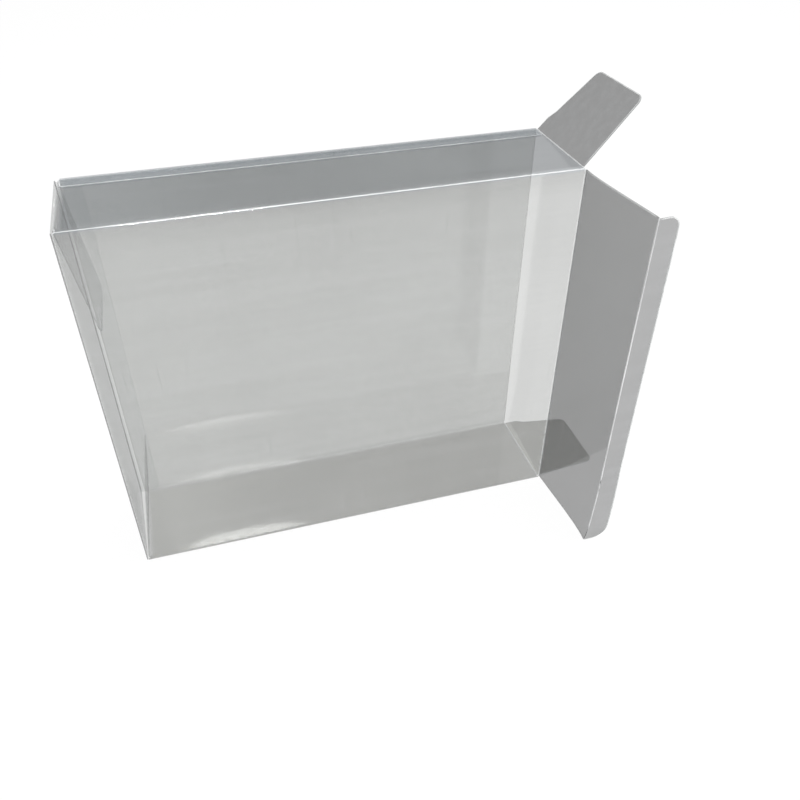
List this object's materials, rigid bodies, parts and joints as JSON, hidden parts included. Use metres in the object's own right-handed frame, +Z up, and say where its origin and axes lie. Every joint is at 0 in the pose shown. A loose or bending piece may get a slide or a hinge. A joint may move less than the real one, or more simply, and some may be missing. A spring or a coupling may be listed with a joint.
{
  "type": "game box protector",
  "caption": "Clear folded film protector for a boxed game: a flat rectangular tube with hinged tuck lids and dust flaps at its ends.",
  "frame": {"origin": "centre of the bottom panel's underside, which the box stands on", "axes": "+X along the box to its open end, +Y from the front panel, which carries both lids, to the back panel, +Z up"},
  "size_m": [0.2937, 0.1175, 0.2421],
  "materials": {
    "clear_film": "clear glossy PET film"
  },
  "bodies": {
    "sleeve": {"sleeve": "clear_film"},
    "open_lid": {"open_end_lid": "clear_film"},
    "open_tab": {"open_end_tuck_tab": "clear_film"},
    "top_flap": {"open_end_top_dust_flap": "clear_film"},
    "bottom_flap": {"open_end_bottom_dust_flap": "clear_film"},
    "closed_lid": {"closed_end_lid": "clear_film"},
    "closed_tab": {"closed_end_tuck_tab": "clear_film"}
  },
  "joints": [
    {"name": "open_lid_crease", "type": "hinge", "parent": "sleeve", "child": "open_lid", "pos_m": [0.12555, -0.0295, 0.10575], "axis": [0, 0, 1], "range_deg": [-31, 174]},
    {"name": "open_tab_crease", "type": "hinge", "parent": "open_lid", "child": "open_tab", "pos_m": [0.13164, -0.08743, 0.10575], "axis": [0, 0, 1], "range_deg": [-2.25, 12.51]},
    {"name": "top_flap_crease", "type": "hinge", "parent": "sleeve", "child": "top_flap", "pos_m": [0.12475, 0, 0.21125], "axis": [0, 1, 0], "range_deg": [-68, 137]},
    {"name": "bottom_flap_crease", "type": "hinge", "parent": "sleeve", "child": "bottom_flap", "pos_m": [0.12475, 0, 0.00025], "axis": [0, 1, 0], "range_deg": [-90, 0]},
    {"name": "closed_lid_crease", "type": "hinge", "parent": "sleeve", "child": "closed_lid", "pos_m": [-0.12555, -0.0295, 0.10575], "axis": [0, 0, 1], "range_deg": [-1.2, 203.8]},
    {"name": "closed_tab_crease", "type": "hinge", "parent": "closed_lid", "child": "closed_tab", "pos_m": [-0.12677, 0.02874, 0.10575], "axis": [0, 0, 1], "range_deg": [-0.1, 14.65]}
  ],
  "couplings": [
    {"joint": "open_tab_crease", "follows": "open_lid_crease", "ratio": 0.0718},
    {"joint": "closed_tab_crease", "follows": "closed_lid_crease", "ratio": 0.0718}
  ]
}
